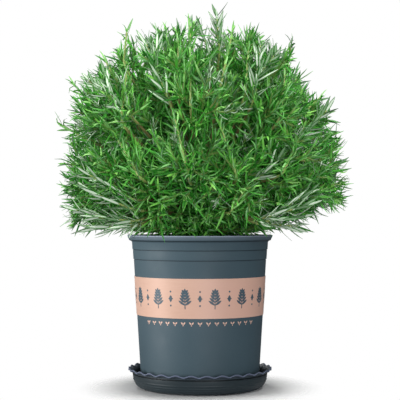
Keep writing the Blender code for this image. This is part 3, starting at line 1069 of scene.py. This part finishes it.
def makeFrontSprigs(tree):
    silver = [frontStem(start, end, 1.0) for start, end in silverSprigs.values()]
    values = {
        "Seed": 900,
        "Base Angle": math.radians(52),
        "Tip Angle": math.radians(30),
        "Leaf Length": 0.0265,
        "Leaf Width": 0.0038,
        "Leaf Spacing": 0.0058,
        "Axil Size": 0.22,
        "Tip Size": 0.8,
        "Bend": 0.3,
        "Twist": 0.5,
    }
    piece = grown("silverSprigs", skeletonMesh("silverSprigs", silver), tree, values)
    finished(piece, None, sharp=40)
    upright = [frontStem(start, end, 0.0) for start, end in uprightSprigs]
    values = {"Seed": 950, "Leaf Length": 0.022, "Leaf Spacing": 0.0058, "Bend": 1.5, "Tip Size": 0.75}
    piece = grown("uprightSprigs", skeletonMesh("uprightSprigs", upright), tree, values)
    finished(piece, None, sharp=40)


lipSprigs = {"count": 26, "foot": 0.016, "reach": (0.070, 0.084), "rise": (0.0055, 0.0105), "seed": 77}


def makeLipSprigs(tree):
    # a ring of short low sprigs whose leaves close the gap between the bush and the lip
    chance = random.Random(lipSprigs["seed"])
    stems = []
    for i in range(lipSprigs["count"]):
        way = math.tau * (i + chance.uniform(-0.3, 0.3)) / lipSprigs["count"]
        outward = Vector((math.cos(way), math.sin(way), 0.0))
        foot = outward * lipSprigs["foot"] + Vector((0.0, 0.0, potHigh.z + 0.004))
        tip = outward * chance.uniform(*lipSprigs["reach"])
        tip.z = potHigh.z + chance.uniform(*lipSprigs["rise"])
        points = [foot.lerp(tip, j / 13) for j in range(14)]
        stems.append(stemOf(points, 0.0013, leafy=(3, 1), youth=(0.0, 0.5), age=0.4))
    piece = grown("lipSprigs", skeletonMesh("lipSprigs", stems), tree, {"Seed": 980, "Leaf Length": 0.020})
    finished(piece, None, sharp=40)


def makeBush(leaves, stems):
    tree = shootTree(leaves, stems)
    chance = random.Random(bush["seed"])
    names = sorted(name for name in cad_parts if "_shoot_" in name)
    for number, name in enumerate(names):
        tier, digits = name.split("_shoot_")
        lift = bush["lift"][tier]
        main = mainStem(name, chance)
        parts = [main]
        if tier == "lower":
            for side in (-1.0, 0.1, 1.0):
                parts.append(skirtStem(main, side * chance.uniform(*bush["skirt"]["turn"]), chance))
            outward = math.atan2(main["points"][-1].y, main["points"][-1].x)
            for side in (-0.09, 0.09):
                parts.append(mouthStem(outward + side + chance.uniform(-0.06, 0.06), chance))
        turn = chance.uniform(0.0, math.tau)
        near, far = bush["sideLengths"]
        for i in range(bush["sideShoots"]):
            share = ((i + chance.uniform(0.1, 0.9)) / bush["sideShoots"]) ** bush["crowding"]
            t = bush["firstSide"] + (bush["lastSide"] - bush["firstSide"]) * share
            length = (near + (far - near) * share) * chance.uniform(0.8, 1.15)
            side = sideStem(main, t, turn, length, lift, chance)
            parts.append(side)
            turn += bush["sideTurn"]
            for j in range(bush["twigs"] if len(side["points"]) > 6 else 0):
                place = 0.30 + 0.55 * (j + chance.random()) / bush["twigs"]
                twigTurn = turn + j * bush["twigTurn"]
                parts.append(sideStem(side, place, twigTurn, length * bush["twigShare"], lift, chance))
        label = tier + "Shoot" + digits
        piece = grown(label, skeletonMesh(label, parts), tree, {"Seed": number * 10})
        finished(piece, name, sharp=40)
    makeFrontSprigs(tree)
    makeLipSprigs(tree)
    print("the bush has", len(names), "leafy shoots")


wood = {
    "footRadius": 0.0062,
    "burlRadius": 0.0138,
    "burlHalf": 0.013,
    "sway": 0.0022,
    "limbs": 9,
    "limbTurn": 2.399,
    "limbLength": 0.052,
    "limbRadius": 0.0042,
    "ridge": 0.0016,
    "ridgeScale": 130.0,
}


def woodSkeleton():
    low, high = woodLow.z, bush["heart"].z + 0.012
    steps = 26
    trunk = {"points": [], "sizes": []}
    for i in range(steps + 1):
        z = low + (high - low) * i / steps
        sway = wood["sway"] * math.sin(9.0 * i / steps)
        swell = math.exp(-(((z - bush["heart"].z) / wood["burlHalf"]) ** 2))
        trunk["points"].append(Vector((sway, -sway * 0.6, z)))
        trunk["sizes"].append(wood["footRadius"] + (wood["burlRadius"] - wood["footRadius"]) * swell)
    trunk["sizes"][-1] = 0.003
    stems = [trunk]
    for i in range(wood["limbs"]):
        turn = wood["limbTurn"] * i
        rise = 0.12 + 0.75 * ((i * 0.618) % 1.0)
        way = Vector((math.cos(turn), math.sin(turn), rise)).normalized()
        limb = {"points": [], "sizes": []}
        for j in range(15):
            t = j / 14
            point = bush["heart"] + way * (0.004 + wood["limbLength"] * t)
            point.z += 0.006 * t * t
            limb["points"].append(lifted(point))
            limb["sizes"].append(wood["limbRadius"] * (1.0 - 0.55 * t))
        stems.append(limb)
    return skeletonMesh("woodyBase", stems, labels=("sizes",))


def woodTree(material, values):
    # sweeps the trunk and limbs, then roughens them along the grain
    tree, given, out = newTree("woodySweep", values)
    lines = add(tree, "GeometryNodeMeshToCurve", {"Mesh": given["Geometry"]}).outputs[0]
    even = {"Curve": lines, "Length": 0.0012}
    fine = add(tree, "GeometryNodeResampleCurve", even, mode="LENGTH").outputs[0]
    place = add(tree, "GeometryNodeInputPosition").outputs[0]
    squash = {0: place, 1: (1.0, 1.0, 0.35)}
    grain = add(tree, "ShaderNodeVectorMath", squash, operation="MULTIPLY").outputs[0]
    ridges = noise(tree, given["Ridge Scale"], 4.0, vector=grain)
    lift = times(tree, minus(tree, ridges, 0.55), given["Ridge"])
    normal = add(tree, "GeometryNodeInputNormal").outputs[0]
    offset = add(tree, "ShaderNodeVectorMath", {0: normal, "Scale": lift}, operation="SCALE").outputs[0]
    rough = shifted(tree, swept(tree, fine, 28), Offset=offset)
    tree.links.new(painted(tree, rough, material), out["Geometry"])
    return tree


def barkMaterial():
    material, tree, sockets = newMaterial("rosemaryBark", roughness=0.85)
    cracks = noise(tree, 300.0, 6.0, 0.65, vector=squashedPlace(tree, (1.0, 1.0, 0.3)))
    stops = [(0.25, (0.028, 0.017, 0.011)), (0.52, (0.10, 0.062, 0.040)), (0.8, (0.26, 0.19, 0.13))]
    colour = ramp(tree, cracks, stops)
    tree.links.new(colour, sockets["Base Color"])
    bumped(tree, sockets, cracks, 0.7, 0.0008)
    return material


soil = {
    "rings": 44,
    "turns": 120,
    "lump": 0.0024,
    "lumpScale": 120.0,
    "crumbs": {"Density": 70000.0, "Smallest": 0.0007, "Largest": 0.0021, "Flatness": 0.75},
    "chips": {"Density": 9000.0, "Smallest": 0.0022, "Largest": 0.0048, "Flatness": 0.45},
    "perlite": {"Density": 9000.0, "Smallest": 0.0010, "Largest": 0.0019, "Flatness": 0.75},
}


def soilMesh():
    # the crowned top is cut finely, and the sides follow the pot
    low, high = soilLow.z, soilHigh.z - 0.003
    crown = 0.003
    reach = soilHigh.x - 0.0004
    outline = []
    for i in range(soil["rings"] + 1):
        r = reach * i / soil["rings"]
        outline.append((r, high + crown * (1.0 - (r / reach) ** 2) - 0.0016))
    foot = reach - pot["taper"] * (high - low)
    outline += [(foot, low + 0.002), (foot - 0.002, low), (0.0, low)]
    return turned("soilTurned", outline, soil["turns"])


def soilTree(material, values):
    tree, given, out = newTree("lumpyTop", values)
    place = add(tree, "GeometryNodeInputPosition").outputs[0]
    height = add(tree, "ShaderNodeSeparateXYZ", {0: place}).outputs["Z"]
    lumps = noise(tree, given["Lump Scale"], 5.0, 0.6, vector=place)
    lift = times(tree, minus(tree, lumps, 0.5), given["Lump"])
    lift = times(tree, lift, calc(tree, "GREATER_THAN", height, given["Top"]))
    lumpy = shifted(tree, given["Geometry"], Offset=combined(tree, Z=lift))
    tree.links.new(painted(tree, lumpy, material), out["Geometry"])
    return tree


def crumbTree(material, values):
    # strews small broken lumps over the faces that look up, half sunk
    tree, given, out = newTree("strewnCrumbs", values)
    place = positionParts(tree)
    inside = calc(tree, "LESS_THAN", distanceOut(tree, place), soilHigh.x - 0.003)
    onTop = times(tree, inside, calc(tree, "GREATER_THAN", place["Z"], given["Top"]))
    seed = given["Seed"]
    inputs = {"Mesh": given["Geometry"], "Selection": onTop, "Density": given["Density"], "Seed": seed}
    spots = add(tree, "GeometryNodeDistributePointsOnFaces", inputs).outputs["Points"]
    lump = add(tree, "GeometryNodeMeshIcoSphere", {"Radius": 0.5, "Subdivisions": 1}).outputs[0]
    inputs = {0: (0.0, 0.0, 0.0), 1: (math.tau, math.tau, math.tau), "Seed": seed}
    turn = add(tree, "FunctionNodeRandomValue", inputs, data_type="FLOAT_VECTOR").outputs[0]
    size = chanceValue(tree, given["Smallest"], given["Largest"], plus(tree, seed, 1.0))
    wide = times(tree, size, 0.8)
    tall = times(tree, size, given["Flatness"])
    scale = combined(tree, X=size, Y=wide, Z=tall)
    inputs = {"Points": spots, "Instance": lump, "Rotation": turn, "Scale": scale}
    crumbs = realized(tree, add(tree, "GeometryNodeInstanceOnPoints", inputs).outputs[0])
    tree.links.new(painted(tree, crumbs, material), out["Geometry"])
    return tree


def grittyMaterial(name, dark, light, scale):
    material, tree, sockets = newMaterial(name, roughness=0.92)
    grit = noise(tree, scale, 5.0, 0.65)
    tree.links.new(ramp(tree, grit, [(0.3, dark), (0.72, light)]), sockets["Base Color"])
    bumped(tree, sockets, grit, 0.6, 0.0006)
    return material


def makeSoil():
    compost = grittyMaterial("darkCompost", (0.012, 0.009, 0.007), (0.075, 0.050, 0.034), 420.0)
    chips = grittyMaterial("barkChips", (0.050, 0.028, 0.016), (0.23, 0.14, 0.08), 500.0)
    perlite = grittyMaterial("perlite", (0.52, 0.50, 0.46), (0.82, 0.80, 0.76), 900.0)
    top = soilHigh.z - 0.010
    values = {"Lump": soil["lump"], "Lump Scale": soil["lumpScale"], "Top": top}
    bed = grown("soilBed", soilMesh(), soilTree(compost, values), values)
    for number, (label, material) in enumerate((("crumbs", compost), ("chips", chips), ("perlite", perlite))):
        values = {**soil[label], "Top": top, "Seed": 40 + number}
        tree = crumbTree(material, values)
        piece = grown("soil" + label.capitalize(), bed.data.copy(), tree, values)
        finished(piece, None, sharp=20)
    finished(bed, "potting_soil", sharp=60)


def makeWoodyBase(material):
    values = {"Ridge": wood["ridge"], "Ridge Scale": wood["ridgeScale"]}
    piece = grown("woodyBase", woodSkeleton(), woodTree(material, values), values)
    finished(piece, "woody_base", sharp=70)


view = {"distance": 1.397, "height": 0.199, "aim": 0.2188, "lens": 107.3}


def makeCamera():
    data = bpy.data.cameras.new("camera")
    data.lens = view["lens"]
    data.clip_end = 20.0
    camera = bpy.data.objects.new("camera", data)
    scene.collection.objects.link(camera)
    camera.location = (0.0, -view["distance"], view["height"])
    aim = Vector((0.0, 0.0, view["aim"])) - camera.location
    camera.rotation_euler = aim.to_track_quat("-Z", "Y").to_euler()
    scene.camera = camera


lamps = {
    "key": {"place": (-1.70, -0.50, 0.26), "size": 0.8, "power": 26.0, "colour": (1.0, 0.99, 0.98)},
    "topLeft": {"place": (-0.35, -0.45, 1.75), "size": 0.9, "power": 12.0, "colour": (1.0, 1.0, 0.98)},
    "topRight": {"place": (0.50, -0.40, 1.70), "size": 0.9, "power": 19.0, "colour": (1.0, 1.0, 0.98)},
    "fill": {"place": (0.45, -1.85, 0.26), "size": 0.9, "power": 16.0, "colour": (0.97, 0.98, 1.0)},
    "back": {"place": (-0.6, 1.3, 1.0), "size": 0.8, "power": 6.0, "colour": (1.0, 1.0, 1.0)},
}
studio = {"ambient": 0.15, "tint": (0.93, 0.97, 1.0, 1.0), "floorSize": 0.9, "floorClear": (0.078, 0.15)}


def makeLights():
    for name, lamp in lamps.items():
        data = bpy.data.lights.new(name, "AREA")
        data.shape = "DISK"
        data.size = lamp["size"]
        data.energy = lamp["power"]
        data.color = lamp["colour"]
        light = bpy.data.objects.new(name, data)
        scene.collection.objects.link(light)
        light.location = lamp["place"]
        aim = Vector((0.0, 0.0, 0.2)) - light.location
        light.rotation_euler = aim.to_track_quat("-Z", "Y").to_euler()
    world = bpy.data.worlds.new("studio")
    scene.world = world
    world.use_nodes = True
    tree = world.node_tree
    tree.nodes.clear()
    ambient = add(tree, "ShaderNodeBackground", {"Color": studio["tint"], "Strength": studio["ambient"]})
    seen = add(tree, "ShaderNodeBackground", {"Color": (1.0, 1.0, 1.0, 1.0), "Strength": 1.0})
    isSeen = add(tree, "ShaderNodeLightPath").outputs["Is Camera Ray"]
    both = add(tree, "ShaderNodeMixShader", {0: isSeen, 1: ambient.outputs[0], 2: seen.outputs[0]})
    add(tree, "ShaderNodeOutputWorld", {"Surface": both.outputs[0]})


def makeFloor():
    # a pale floor that catches the shadow near the saucer and fades into the white studio further out
    material, tree, sockets = newMaterial("paleFloor", roughness=0.9)
    sockets["Base Color"].default_value = (0.9, 0.9, 0.9, 1.0)
    place = objectParts(tree)
    near, clear = studio["floorClear"]
    far = spread(tree, distanceOut(tree, place), near, clear, smooth=True)
    # it takes shadows but throws no light back up
    bounced = add(tree, "ShaderNodeLightPath").outputs["Is Diffuse Ray"]
    far = calc(tree, "MAXIMUM", far, bounced)
    nothing = add(tree, "ShaderNodeBsdfTransparent")
    shader = tree.nodes["Principled BSDF"]
    both = add(tree, "ShaderNodeMixShader", {0: far, 1: shader.outputs[0], 2: nothing.outputs[0]})
    tree.links.new(both.outputs[0], tree.nodes["Material Output"].inputs["Surface"])
    bm = bmesh.new()
    bmesh.ops.create_circle(bm, cap_ends=True, segments=64, radius=studio["floorSize"])
    floor = newPiece("floor", meshFrom(bm, "floor"), material)
    floor.location.z = -0.0002


makeCamera()
makeLights()
makeFloor()
print("camera, lights and floor are ready")

makePot(potPlastic())
makeSaucer(saucerPlastic())
makeBand(foilMaterial())
makePrints(inkMaterial("slateInk", (0.075, 0.115, 0.145)), inkMaterial("blushInk", (0.80, 0.50, 0.40)))
print("pot, saucer and band are ready")

makeSoil()
makeWoodyBase(barkMaterial())
print("soil and woody base are ready")

makeBush(leafMaterial(), stemMaterial())
